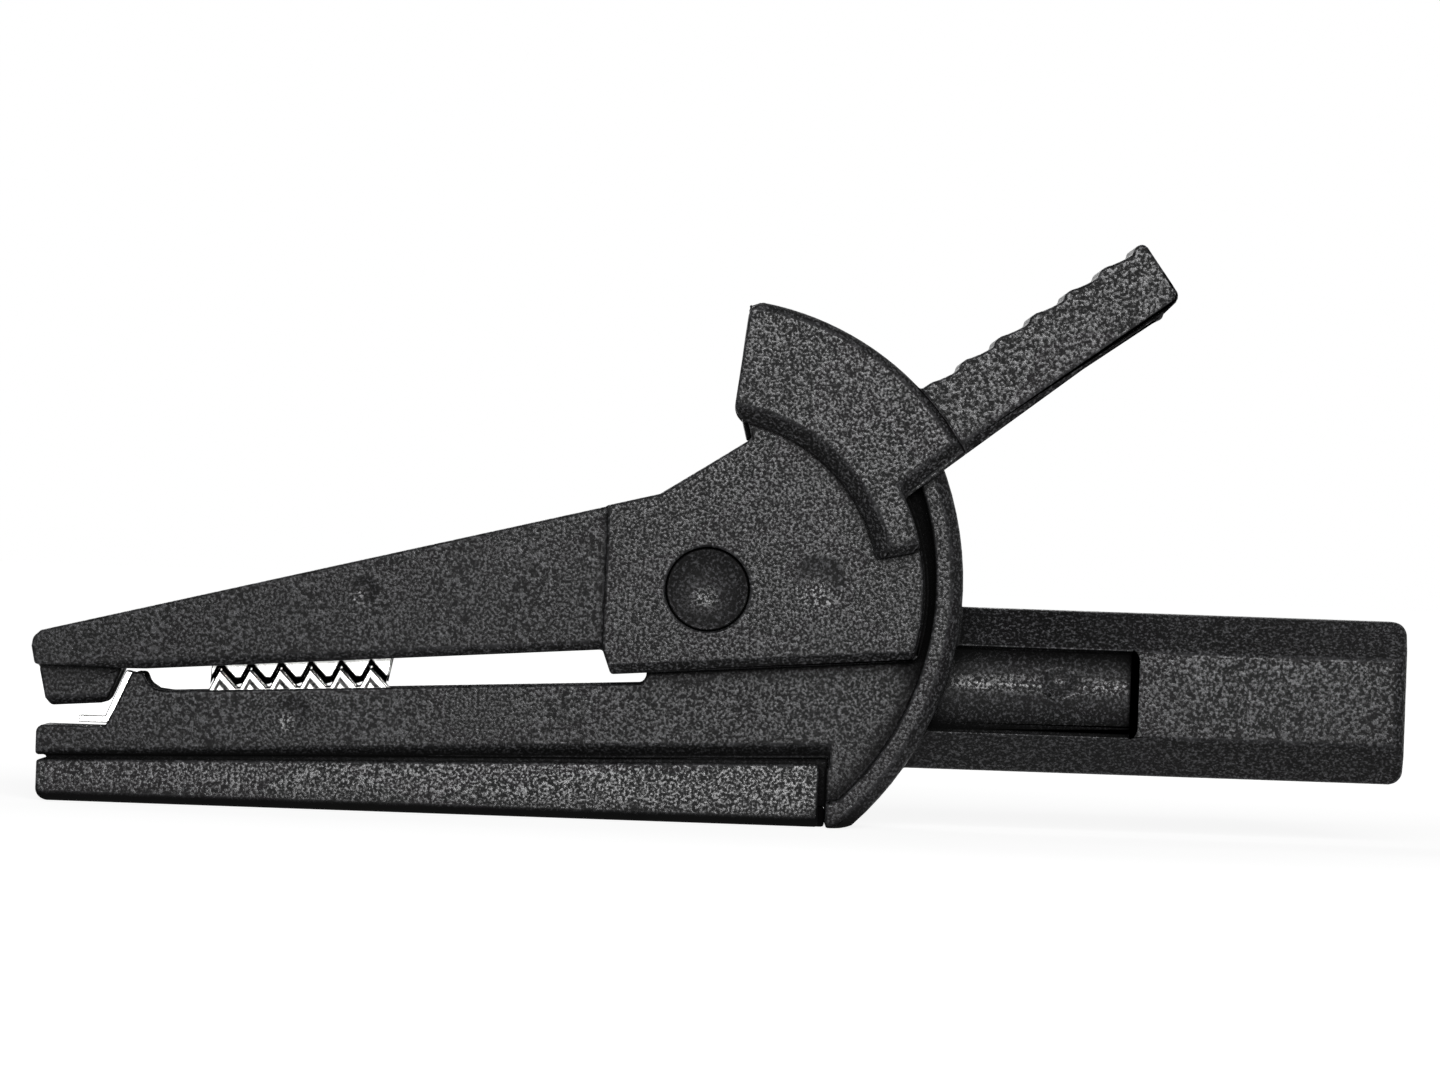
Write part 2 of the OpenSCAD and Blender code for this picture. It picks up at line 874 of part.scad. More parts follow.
module pivot_cap_far() {
  color([0.1, 0.1, 0.1])
  pivot_cap();
}

// Torsion spring: the lower leg rests on the lower contact's floor, the upper leg presses
// up under the upper contact's rear tongue, and the coil turns between them
low_end = [keel_end - 1.2, contact_floor + sheet / 2 + seat + wire_r];
up_end = (roof_mid - sheet / 2 - seat - wire_r) * [cos(roof_normal), sin(roof_normal)]
  + 6.5 * [sin(roof_normal), -cos(roof_normal)];
low_touch = atan2(low_end[1], low_end[0]) - acos(coil_r / norm(low_end));
up_touch = atan2(up_end[1], up_end[0]) + acos(coil_r / norm(up_end)) - 360;
coil_turn = low_touch - up_touch + 360 * coil_turns;
coil_half = spacer_half - wire_r - 0.12;
coil_step = 18;

function coil_point(k) =
  let (n = ceil(coil_turn / coil_step), a = low_touch - coil_turn * k / n)
  [coil_r * cos(a), coil_half * (1 - 2 * k / n), coil_r * sin(a)];
function spring_path() = concat(
  [[low_end[0], coil_half, low_end[1]]],
  [for (k = [0 : ceil(coil_turn / coil_step)]) coil_point(k)],
  [[up_end[0], -coil_half, up_end[1]]]
);
function ring_at(p, i, r, sides) =
  let (
    t = unit(p[min(i + 1, len(p) - 1)] - p[max(i - 1, 0)]),
    u = unit(cross(t, [0, 1, 0])),
    v = cross(t, u)
  ) [for (s = [0 : sides - 1]) p[i] + r * (cos(360 * s / sides) * u + sin(360 * s / sides) * v)];

module torsion_spring() {
  sides = 8;
  p = spring_path();
  n = len(p);
  points = [for (i = [0 : n - 1], q = ring_at(p, i, wire_r, sides)) q];
  faces = concat(
    [[for (s = [sides - 1 : -1 : 0]) s]],
    [for (i = [0 : n - 2], s = [0 : sides - 1])
      [i * sides + s, i * sides + (s + 1) % sides, (i + 1) * sides + (s + 1) % sides,
       (i + 1) * sides + s]],
    [[for (s = [0 : sides - 1]) (n - 1) * sides + s]]
  );
  color([0.72, 0.72, 0.72])
  polyhedron(points = points, faces = faces);
}

// Upper jaw

module upper_jaw_outline() {
  tip = -jaw_reach;
  root = knee[0] + 0.8;
  polygon([
    [tip + 0.25, upper_edge(tip) + 0.65],
    [tip, jaw_top(tip) - 0.9],
    [tip + 0.1, jaw_top(tip) - 0.3],
    [tip + 0.6, jaw_top(tip + 0.6)],
    [root, jaw_top(root)],
    [root, upper_edge(root)],
    [upper_front + 1.7, upper_edge(upper_front + 1.7)],
    [upper_front, upper_edge(upper_front) + 0.1]
  ]);
}

// The steeper roof over the pivot, between two distances from it
module roof_outline(d0, d1) {
  intersection() {
    difference() {
      beyond(roof_normal, d0);
      beyond(roof_normal, d1);
    }
    fan(web_angle, atan2(knee[1], knee[0]), half_span * 2);
  }
}

// Everything behind the hood's front wall, which leans back above its waist and below it
module behind_front(d) {
  intersection() {
    beyond(-front_lean, front_d + d);
    beyond(waist_lean, waist_d + d);
  }
}

// Side plate over the drum: a disc, cut off along the two roof lines, its front edge and
// its lower edge
module cheek_outline(r) {
  round = 0.7;
  low = upper_edge_tilt - 90;
  c = on_circle(low, -cheek_edge(0) * cos(upper_edge_tilt) - round, r - round);
  intersection() {
    difference() {
      circle(r = r, $fn = 180);
      difference() {
        intersection() {
          beyond(90 + jaw_top_tilt, top_d + 0.06);
          beyond(roof_normal, roof_d);
        }
        behind_front(cheek_step);
      }
      corner_waste(c, round, low, atan2(c[1], c[0]));
    }
    polygon([
      [cheek_front + 0.6, -half_span],
      [cheek_front + 0.6, upper_edge(cheek_front) - cheek_drop],
      [cheek_front, upper_edge(cheek_front)],
      [cheek_front + 0.2, half_span],
      [half_span, half_span],
      [half_span, -half_span]
    ]);
    polygon([
      [-half_span, cheek_edge(-half_span)],
      [half_span, cheek_edge(half_span)],
      [half_span, half_span],
      [-half_span, half_span]
    ]);
  }
}

// Both cheeks, with a step round their rear edge and a bevel along their lower edge
module cheeks() {
  start = cheek_front - cut;
  difference() {
    union() {
      side_pair(cheek_in, rim_half - step_depth) cheek_outline(cheek_r + cheek_step);
      side_pair(rim_half - step_depth, rim_half) cheek_outline(cheek_r);
    }
    shave([start, rim_half - cheek_bevel, cheek_edge(start)], half_span, 45, upper_edge_tilt);
  }
}

module upper_housing() {
  roof_mark = [-22.8, -0.85, 1.0];
  cheek_mark = [7.4, 0.8, 1.85];
  start = -jaw_reach - cut;
  spread = atan((upper_root_half - upper_tip_half) / (root_x + jaw_reach));
  color([0.13, 0.13, 0.135])
  difference() {
    union() {
      difference() {
        intersection() {
          side(half_span) upper_jaw_outline();
          taper(upper_tip_half, upper_root_half);
        }
        intersection() {
          side(half_span) upper_hollow();
          taper(upper_tip_half - shell, upper_root_half - shell);
        }
        shave([start, upper_tip_half - jaw_bevel - cut * tan(spread), upper_edge(start)],
          half_span * 2, 45, upper_edge_tilt, spread);
      }
      difference() {
        side(nose_half) nose_outline();
        shave([start, nose_half - jaw_bevel, nose_low + (start - nose_x) * tan(upper_edge_tilt)],
          half_span, 45, upper_edge_tilt);
      }
      side(cheek_in + bond) roof_outline(roof_in, roof_d - 0.02);
      cheeks();
    }
    side_pair(cheek_in - bond, rim_half + cut) circle(r = pivot_recess_r);
    side_pair(rim_half - peg_l - seat, rim_half + cut)
      rotate(peg_angle) translate([peg_at, 0]) circle(r = peg_r + run, $fn = 32);
    round_marks(roof_mark[0], roof_mark[1], roof_mark[2],
      taper_at(roof_mark[0], upper_tip_half, upper_root_half));
    round_marks(cheek_mark[0], cheek_mark[1], cheek_mark[2], rim_half);
  }
}

module upper_hollow() {
  depth = shell / cos(jaw_top_tilt);
  polygon([
    [upper_front, upper_edge(upper_front) - cut],
    [upper_front, jaw_top(upper_front) - depth],
    [half_span, jaw_top(half_span) - depth],
    [half_span, upper_edge(0) - 3 * cut]
  ]);
}

module nose_outline() {
  polygon([
    [-jaw_reach + 0.5, upper_edge(-jaw_reach) + 1],
    [-jaw_reach + 0.55, upper_edge(-jaw_reach) + 0.24],
    [-jaw_reach + 0.95, upper_edge(-jaw_reach) - 1.56],
    [nose_x, nose_low],
    [upper_front - 1.1, nose_low + (upper_front - 1.1 - nose_x) * tan(upper_edge_tilt)],
    [upper_front - 0.8, upper_edge(-jaw_reach) - 1.45],
    [upper_front, upper_edge(upper_front) - 0.05],
    [upper_front, upper_edge(-jaw_reach) + 1.5]
  ]);
}

// Thumb lever

module hood_outline(r0, r1) {
  round = 0.9;
  c = on_circle(-front_lean, front_d + round, hood_r - round);
  low = on_circle(-front_lean, front_d + skirt_round, skirt_r + skirt_round);
  difference() {
    intersection() {
      difference() {
        circle(r = r1, $fn = 180);
        circle(r = r0, $fn = 180);
      }
      beyond(-front_lean, front_d);
      beyond(90 + pad_angle + pad_taper, pad_low);
      fan(0, 95, half_span * 2);
    }
    corner_waste(c, round, atan2(c[1], c[0]), 180 - front_lean);
    corner_waste(low, skirt_round, 180 - front_lean, 180 + atan2(low[1], low[0]));
  }
}

module tail_outline() {
  round = 0.5;
  at = tail_out - round;
  turn = tail_low + asin(round / at);
  intersection() {
    difference() {
      circle(r = tail_out, $fn = 180);
      circle(r = skirt_r, $fn = 180);
      corner_waste(at * [cos(turn), sin(turn)], round, tail_low - 90, turn);
    }
    fan(tail_low, 50, half_span);
  }
}

// Front wall of the hood, outside the radius r0
module web_outline(r0) {
  intersection() {
    difference() {
      circle(r = hood_r - 0.3, $fn = 180);
      circle(r = r0, $fn = 180);
    }
    behind_front(0);
    beyond(roof_normal, roof_d + seat);
    fan(web_angle, 100, half_span);
  }
}

// The pad's side view: hollows between narrow ribs, each hollow steep against the next rib out
module pad_outline() {
  round = 0.5;
  hollow_l = rib_pitch - rib_w;
  hollow_r = (pow(hollow_l - scallop, 2) + scallop * scallop) / (2 * scallop);
  nub_at = pad_reach - 1.95;
  difference() {
    rotate(pad_angle)
      difference() {
        union() {
          intersection() {
            translate([hood_in * 0.8, -half_span])
              square([pad_reach - hood_in * 0.8, half_span + pad_top]);
            beyond(90 + pad_taper, pad_low);
          }
          translate([nub_at, pad_under(nub_at) + 0.1])
            circle(r = 0.45, $fn = 24);
        }
        corner_waste([pad_reach - round, pad_top - round], round, 0, 90);
        corner_waste([pad_reach - round, pad_under(pad_reach) + round], round, pad_taper - 90, 0);
        for (i = [0 : rib_count - 1])
          translate([pad_reach - 0.75 - i * rib_pitch, pad_top - scallop])
            intersection() {
              translate([-scallop, hollow_r])
                circle(r = hollow_r, $fn = 96);
              polygon([
                [-hollow_l - bond, 0], [-scallop, 0], [0, scallop], [0, scallop + cut],
                [-hollow_l - bond, scallop + cut]
              ]);
            }
      }
    circle(r = hood_in, $fn = 180);
  }
}

// Waste inside both skirts: their inner rim widens outwards to the radius r on their faces
module skirt_waste(r) {
  deep = 3;
  rotate([90, 0, 0])
    rotate_extrude($fn = 180)
      for (s = [-1, 1])
        polygon([
          [r + cut, s * (skirt_out + cut)], [r - deep, s * (skirt_out - deep)],
          [r - deep, s * (skirt_out + cut)]
        ]);
}

// The hood's shell and side skirts, bevelled round the top, under the pad and inside
module hood() {
  from = on_pad(9);
  difference() {
    union() {
      side_pair(skirt_in, skirt_out) hood_outline(skirt_r, hood_r);
      side(skirt_out) hood_outline(hood_in, hood_r);
      side(skirt_in + bond / 2) web_outline(cheek_r + 2 * cheek_step);
    }
    rim_waste(hood_r, skirt_out, hood_bevel);
    skirt_waste(skirt_face_r);
    shave([from[0], skirt_out - under_bevel, from[1]], hood_r, 45, pad_angle + under_climb);
  }
}

module tails() {
  from = skirt_r / 2 * [cos(tail_low), sin(tail_low)];
  difference() {
    side_pair(skirt_in, skirt_out) tail_outline();
    skirt_waste(skirt_face_r);
    shave([from[0], skirt_out - tail_bevel, from[1]], hood_r, 45, tail_low);
  }
}

// The thumb pad, with a bevel under each side that fades out towards its end
module pad() {
  root = 17.6;
  root_bevel = 0.8;
  from = on_pad(root);
  fade = asin(root_bevel / (pad_reach - root) / cos(pad_angle));
  difference() {
    side(pad_half) pad_outline();
    shave([from[0], pad_half - root_bevel, from[1]], pad_reach, 45, pad_angle + pad_taper, fade);
  }
}

module thumb_lever() {
  color([0.14, 0.14, 0.145])
  union() {
    hood();
    tails();
    pad();
    side(cheek_in - seat) web_outline(roof_d);
    side_pair(rim_half - peg_l, skirt_in + bond / 2)
      rotate(peg_angle)
        translate([peg_at, 0])
          circle(r = peg_r, $fn = 32);
  }
}

// Everything above is drawn round the pivot; this sets it on its underside
module place() {
  translate([pivot_x, 0, pivot_height]) children();
}

place() lower_housing();
place() jaw_keel();
place() lower_contact();
place() socket_tube();
place() socket_insert();
place() tongue_rivet();
place() axle();
place() axle_washers();
place() axle_spacer();
place() torsion_spring();
place() upper_housing();
place() upper_contact();
place() thumb_lever();
place() pivot_cap_near();
place() pivot_cap_far();
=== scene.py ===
"""Crocodile clip: moulded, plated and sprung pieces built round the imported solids.

Every piece is made in metres in the frame of the solids, so it needs no fitting.  Mouldings,
stamped sheets and the socket are copies of their solids with rounded edges; the other turned
pieces are surfaces worked out from a profile, and the spring from its middle line.
"""

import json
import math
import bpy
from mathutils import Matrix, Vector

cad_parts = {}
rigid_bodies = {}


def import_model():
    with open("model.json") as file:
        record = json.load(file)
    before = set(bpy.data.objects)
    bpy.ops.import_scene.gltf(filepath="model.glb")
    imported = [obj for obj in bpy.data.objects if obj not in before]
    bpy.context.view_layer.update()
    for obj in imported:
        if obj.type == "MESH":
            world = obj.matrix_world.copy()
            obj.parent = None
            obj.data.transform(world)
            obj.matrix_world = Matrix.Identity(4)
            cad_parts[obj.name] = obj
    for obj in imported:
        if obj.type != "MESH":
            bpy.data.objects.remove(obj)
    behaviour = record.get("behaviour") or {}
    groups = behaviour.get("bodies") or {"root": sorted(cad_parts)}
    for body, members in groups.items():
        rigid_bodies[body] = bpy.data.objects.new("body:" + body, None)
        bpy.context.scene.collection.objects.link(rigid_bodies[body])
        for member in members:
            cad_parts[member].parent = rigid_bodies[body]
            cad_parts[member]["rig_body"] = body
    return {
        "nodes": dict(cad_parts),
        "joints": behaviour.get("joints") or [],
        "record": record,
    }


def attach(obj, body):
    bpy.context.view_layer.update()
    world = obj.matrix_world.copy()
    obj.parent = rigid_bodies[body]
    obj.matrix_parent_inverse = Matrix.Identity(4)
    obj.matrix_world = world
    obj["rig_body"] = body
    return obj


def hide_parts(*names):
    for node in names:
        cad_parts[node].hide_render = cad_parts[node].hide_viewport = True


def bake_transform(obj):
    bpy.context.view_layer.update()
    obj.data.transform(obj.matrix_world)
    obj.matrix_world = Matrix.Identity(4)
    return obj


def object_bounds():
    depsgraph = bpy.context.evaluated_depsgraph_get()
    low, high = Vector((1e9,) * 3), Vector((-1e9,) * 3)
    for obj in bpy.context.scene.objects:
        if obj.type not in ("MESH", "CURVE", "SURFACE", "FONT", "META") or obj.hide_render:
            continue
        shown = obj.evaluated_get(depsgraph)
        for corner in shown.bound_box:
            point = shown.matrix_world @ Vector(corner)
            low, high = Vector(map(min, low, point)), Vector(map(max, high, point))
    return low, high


bl_info = {
    "name": "Crocodile clip",
    "version": (1, 0, 0),
    "blender": (4, 5, 0),
    "location": "3D View > Sidebar > Clip",
    "description": "Makes an insulated crocodile clip: black shells, contacts and spring",
    "category": "Object",
}

import bmesh
import bpy
import numpy as np
from bpy.props import FloatProperty, FloatVectorProperty, IntProperty, PointerProperty
from bpy.types import Operator, Panel, PropertyGroup
from mathutils import Matrix, Vector
from mathutils.bvhtree import BVHTree

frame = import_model()
CAD_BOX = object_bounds()
MM = 0.001
PIVOT = np.array(frame["joints"][0]["pos_m"])
COLOURS = {m["slot"]: m["base_color"] for m in frame["record"]["materials"]}

# Rows of teeth, in metres; the tip is the middle of the gap over the front tooth.
TIP_X, TIP_Z = -33.125 * MM, 9.087 * MM
PITCH, DEPTH = 2.0 * MM, 1.15 * MM
FRONT_RUN, REAR_RUN = 0.61 * MM, 1.07 * MM
ROW_TILT = 0.0489
ROW_MIDDLE, ROW_HALF = -27.9 * MM, 6.05 * MM


def colour(name, description, slot):
    """Colour property whose default is the record's colour of that material slot."""
    return FloatVectorProperty(
        name=name, description=description, subtype="COLOR", size=3, min=0, max=1,
        default=COLOURS[slot],
    )


def length(name, description, default_mm):
    """Length property, given in millimetres and kept in metres."""
    return FloatProperty(
        name=name, description=description, unit="LENGTH", precision=6, min=0,
        default=default_mm * MM,
    )


class ClipMouldings(PropertyGroup):
    """Black shells: colours, grain and edges."""

    housing: colour("Housing", "Colour of the lower jaw, drum and handle", "housing_black")
    keel: colour("Keel", "Colour of the cover under the lower jaw", "keel_black")
    upper: colour("Upper jaw", "Colour of the upper jaw and its cheeks", "upper_black")
    lever: colour("Lever", "Colour of the thumb lever", "lever_black")
    cap: colour("Pivot caps", "Colour of the dished caps over the pivot", "cap_black")
    insert: colour("Socket insert", "Colour of the post round the socket", "insert_black")
    grain: length("Grain", "Size of the pits left by the eroded mould", 0.19)
    depth: length("Grain depth", "Depth of those pits", 0.014)
    edge: length("Edge radius", "Rounding of the moulded edges", 0.18)


class ClipMetals(PropertyGroup):
    """Plated and bare metal: colours and edges."""

    contact: colour("Contacts", "Nickel plating of the toothed sheets", "contact_nickel")
    socket: colour("Socket", "Nickel plating of the turned socket", "socket_nickel")
    rivet: colour("Rivet", "Plating of the rivet", "rivet_nickel")
    axle: colour("Axle", "Zinc plating of the axle", "axle_steel")
    washer: colour("Washers", "Zinc plating of the washers", "washer_steel")
    spacer: colour("Spacer", "Nickel plating of the spacer tube", "spacer_nickel")
    spring: colour("Spring", "Bare spring wire", "spring_steel")
    edge: length("Edge radius", "Rounding of the stamped edges; the socket's is twice that", 0.06)
    # width of the painted shade band between the rows of teeth
    shear: length("Painted teeth shade", "Width of the dark band along the teeth's flanks", 0.3)


class ClipSpring(PropertyGroup):
    """Torsion spring round the axle."""

    wire: length("Wire radius", "Radius of the wire", 0.45)
    coil: length("Coil radius", "Radius of the wire's middle line in the coil", 3.0)
    half: length("Half length", "From the middle of the clip to the coil's last turn", 1.63)
    turns: IntProperty(name="Turns", description="Whole turns of the coil", default=3, min=1)
    lower_end: FloatVectorProperty(
        name="Lower leg", description="End of the lower leg from the pivot, along and up",
        size=2, unit="LENGTH", default=(0.0068, -0.01195),
    )
    upper_end: FloatVectorProperty(
        name="Upper leg", description="End of the upper leg from the pivot, along and up",
        size=2, unit="LENGTH", default=(0.002853, 0.007497),
    )


class ClipStage(PropertyGroup):
    """Camera, lamps and floor."""

    lens: FloatProperty(
        name="Lens", description="Focal length in millimetres", default=300, min=50
    )
    view_width: length("View width", "Width seen at the middle of the clip", 96)
    roll: FloatProperty(
        name="Roll", description="Turn of the camera about its line of sight",
        subtype="ANGLE", default=math.radians(2),
    )
    key: FloatProperty(name="Key lamp", description="Watts of the lamp in front", default=5.0)
    fill: FloatProperty(name="Fill lamp", description="Watts of the lamp behind", default=1.2)
    sky: FloatProperty(name="Sky", description="Light from all round", default=0.05, min=0, max=1)


# Meshes

SAME_POINT = 1e-7
WELD = 2e-6
SLIVER = 3e-5
FLAT = math.radians(0.6)
SHARP = math.radians(28)
SAME_WAY = 0.98


def settled(bm, name):
    """Object from a bmesh, with doubled points merged and every face turned outwards."""
    bmesh.ops.remove_doubles(bm, verts=bm.verts, dist=SAME_POINT)
    bmesh.ops.dissolve_degenerate(bm, edges=bm.edges, dist=SAME_POINT)
    bmesh.ops.recalc_face_normals(bm, faces=bm.faces)
    mesh = bpy.data.meshes.new(name)
    bm.to_mesh(mesh)
    bm.free()
    mesh.shade_smooth()
    piece = bpy.data.objects.new(name, mesh)
    bpy.context.scene.collection.objects.link(piece)
    return piece


def softened(node, name, edge):
    """Copy of a solid with its edges rounded.

    The copy's loose triangles are joined and flat faces made whole; then every edge where the
    surface turns by more than SHARP is bevelled to the width edge.  A point that short edges
    throw further than half of that width off the solid goes back to its nearest place there.
    New faces that face another way than the solid under them carry the attribute "edge", which the
    materials read as patchy wear with a painted highlight on the black plastic, as a painted dark
    outline on the contacts and as slightly brighter edges on the socket.
    """
    bm = bmesh.new()
    bm.from_mesh(frame["nodes"][node].data)
    bmesh.ops.remove_doubles(bm, verts=bm.verts, dist=WELD)
    bmesh.ops.dissolve_degenerate(bm, edges=bm.edges, dist=SLIVER)
    bmesh.ops.dissolve_limit(bm, angle_limit=FLAT, verts=bm.verts, edges=bm.edges)
    surface = BVHTree.FromBMesh(bm)
    layer = bm.faces.layers.float.new("edge")
    found = [e for e in bm.edges if e.is_manifold and e.calc_face_angle(0) > SHARP]
    made = bmesh.ops.bevel(
        bm, geom=found, offset=edge, offset_type="OFFSET", segments=2, profile=0.5,
        affect="EDGES", clamp_overlap=False, loop_slide=True,
    )
    for f in made["faces"]:
        f.normal_update()
        facing = surface.find_nearest(f.calc_center_median())[1]
        f[layer] = 1.0 if f.normal.dot(facing) < SAME_WAY else 0.0
    for v in bm.verts:
        nearest, _, _, gap = surface.find_nearest(v.co)
        if gap > edge / 2:
            v.co = nearest
    piece = settled(bm, name)
    normals = piece.modifiers.new("even shading", "WEIGHTED_NORMAL")
    normals.weight = 100
    return piece


def grid_mesh(name, points, wrap_rows):
    """Mesh of a grid of points, rows by columns, whose columns close on themselves.

    Quad (i, j) joins row i to row i + 1 and column j to column j + 1; with wrap_rows the last
    row also joins the first.
    """
    rows, columns = points.shape[:2]
    i = np.arange(rows if wrap_rows else rows - 1)[:, None]
    j = np.arange(columns)[None, :]
    i2, j2 = (i + 1) % rows, (j + 1) % columns
    quads = np.stack(
        [i * columns + j, i * columns + j2, i2 * columns + j2, i2 * columns + j], -1
    )
    mesh = bpy.data.meshes.new(name)
    mesh.from_pydata(points.reshape(-1, 3), [], quads.reshape(-1, 4))
    bm = bmesh.new()
    bm.from_mesh(mesh)
    bpy.data.meshes.remove(mesh)
    return settled(bm, name)


def eased(profile, radius, steps=4, closed=False):
    """Profile with its corners rounded.

    A corner c between neighbours becomes the curve (1-t)^2 a + 2t(1-t) c + t^2 b, where a and b
    lie on the two sides at the distance radius from c, or at 0.45 of a shorter side.
    """
    p = np.array(profile, float)
    before, after = np.roll(p, 1, 0), np.roll(p, -1, 0)

    def towards(q):
        side = q - p
        size = np.linalg.norm(side, axis=1, keepdims=True)
        return p + side / np.maximum(size, 1e-9) * np.minimum(radius, 0.45 * size)

    a, b = towards(before), towards(after)
    t = np.linspace(0, 1, steps + 1)[None, :, None]
    curve = (1 - t) ** 2 * a[:, None] + 2 * t * (1 - t) * p[:, None] + t**2 * b[:, None]
    if closed:
        return curve.reshape(-1, 2)
    return np.concatenate([p[:1], curve[1:-1].reshape(-1, 2), p[-1:]])


def box_profile(inner, outer, start, end, radius):
    """Closed profile of a plain ring or tube with rounded corners."""
    return eased([(inner, start), (outer, start), (outer, end), (inner, end)], radius, closed=True)


def turned(name, profile, origin, axis, closed=False, steps=96):
    """Turned piece: the profile is carried round the axis.

    Point (i, j) = origin + along_i * axis + radius_i * (cos f_j * u + sin f_j * v), where the
    angle f_j goes once round and u, v and the axis are at right angles.  Profile points are
    (radius, along) in millimetres.
    """
    p = np.array(profile, float) * MM
    axis = np.array(axis, float)
    u = np.roll(axis, 1)
    v = np.cross(axis, u)
    f = np.linspace(0, 2 * np.pi, steps, endpoint=False)
    ring = np.cos(f)[:, None] * u + np.sin(f)[:, None] * v
    points = origin + p[:, 1, None, None] * axis + p[:, 0, None, None] * ring[None]
    return grid_mesh(name, points, closed)


def joined(name, parts):
    """One object out of several that belong to one piece."""
    bm = bmesh.new()
    for o in parts:
        bm.from_mesh(o.data)
        bpy.data.objects.remove(o)
    return settled(bm, name)


def stands_for(piece, node, finish):
    """Puts the piece in place of its solid, on the solid's body and with its finish."""
    body = frame["nodes"][node]["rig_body"]
    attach(piece, body)
    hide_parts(node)
    piece.data.materials.clear()
    piece.data.materials.append(finish)
    return piece


# Materials


class Finish:
    """A material under construction: node helpers round one Principled shader."""

    def __init__(self, name):
        self.material = bpy.data.materials.new(name)
        self.material.use_nodes = True
        self.tree = self.material.node_tree
        self.tree.nodes.clear()
        self.shader = self.node("BsdfPrincipled")
        out = self.node("OutputMaterial")
        self.link(self.shader.outputs[0], out.inputs["Surface"])
        self.place = self.node("TexCoord").outputs["Object"]

    def node(self, kind, **values):
        made = self.tree.nodes.new("ShaderNode" + kind)
        for key, value in values.items():
            setattr(made, key, value)
        return made

    def link(self, a, b):
        self.tree.links.new(a, b)

    def noise(self, size, detail=2.0, roughness=0.5, stretch=(1, 1, 1)):
        """Noise whose grains have about the given size, in metres."""
        made = self.node("TexNoise")
        if stretch != (1, 1, 1):
            mapping = self.node("Mapping")
            mapping.inputs["Scale"].default_value = stretch
            self.link(self.place, mapping.inputs["Vector"])
            self.link(mapping.outputs[0], made.inputs["Vector"])
        else:
            self.link(self.place, made.inputs["Vector"])
        made.inputs["Scale"].default_value = 1 / size
        made.inputs["Detail"].default_value = detail
        made.inputs["Roughness"].default_value = roughness
        return made.outputs["Fac"]

    def spread(self, value, low, high, to_low=0.0, to_high=1.0):
        """Value mapped from low..high to to_low..to_high and clamped."""
        made = self.node("MapRange")
        self.link(value, made.inputs["Value"])
        for key, number in (
            ("From Min", low), ("From Max", high), ("To Min", to_low), ("To Max", to_high)
        ):
            made.inputs[key].default_value = number
        return made.outputs["Result"]

    def math(self, operation, *values):
        """Result of a named operation on values, each a socket or a number."""
        made = self.node("Math", operation=operation)
        for socket, value in zip(made.inputs, values):
            if isinstance(value, float):
                socket.default_value = value
            else:
                self.link(value, socket)
        return made.outputs[0]

    def times(self, a, b):
        return self.math("MULTIPLY", a, b)

    def crevice_shade(self, reach):
        """0 on open faces, up to 1 where other faces stand within reach: corners and gaps, where
        the materials paint shade.
        """
        shut, free = 0.45, 0.93
        made = self.node("AmbientOcclusion", samples=6)
        made.inputs["Distance"].default_value = reach
        return self.spread(made.outputs["AO"], shut, free, 1.0, 0.0)

    def above_teeth(self):
        """Height over the zigzag line between the two rows of teeth, and 1 where teeth stand.

        With p the way from the last tip, the line lies below the tips by
        min(p / rear, (pitch - p) / front, 1) * depth.
        """
        axes = self.node("SeparateXYZ")
        self.link(self.place, axes.inputs[0])
        x, z = axes.outputs[0], axes.outputs[2]
        way = self.math("FLOORED_MODULO", self.math("ADD", x, -TIP_X), PITCH)
        rear = self.times(way, 1 / REAR_RUN)
        front = self.times(self.math("SUBTRACT", PITCH, way), 1 / FRONT_RUN)
        below = self.times(self.math("MINIMUM", self.math("MINIMUM", rear, front), 1.0), DEPTH)
        tips = self.math("ADD", self.times(x, ROW_TILT), TIP_Z - TIP_X * ROW_TILT)
        above = self.math("ADD", self.math("SUBTRACT", z, tips), below)
        along = self.math("ABSOLUTE", self.math("ADD", x, -ROW_MIDDLE))
        return above, self.spread(along, ROW_HALF, ROW_HALF + 0.1 * MM, 1.0, 0.0)

    def band(self, value, low, high, soft):
        """1 between low and high, fading out over the distance soft on both sides."""
        return self.times(
            self.spread(value, low - soft, low), self.spread(value, high, high + soft, 1.0, 0.0)
        )

    def mix(self, amount, a, b):
        """Colour a where amount is 0 and colour b where it is 1."""
        made = self.node("Mix", data_type="RGBA")
        self.link(amount, made.inputs["Factor"])
        for key, value in (("A", a), ("B", b)):
            socket = next(s for s in made.inputs if s.name == key and s.type == "RGBA")
            if isinstance(value, tuple):
                socket.default_value = value
            else:
                self.link(value, socket)
        return next(s for s in made.outputs if s.type == "RGBA")

    def bump(self, height, depth):
        made = self.node("Bump")
        made.inputs["Distance"].default_value = depth
        made.inputs["Strength"].default_value = 1.0
        self.link(height, made.inputs["Height"])
        return made.outputs[0]

    def feed(self, colour, roughness, normal):
        """Links the three sockets that carry the material's detail."""
        self.link(colour, self.shader.inputs["Base Color"])
        self.link(roughness, self.shader.inputs["Roughness"])
        self.link(normal, self.shader.inputs["Normal"])


def shade(rgb, factor):
    """Colour times a factor, as four numbers."""
    return tuple(min(1.0, c * factor) for c in rgb) + (1.0,)


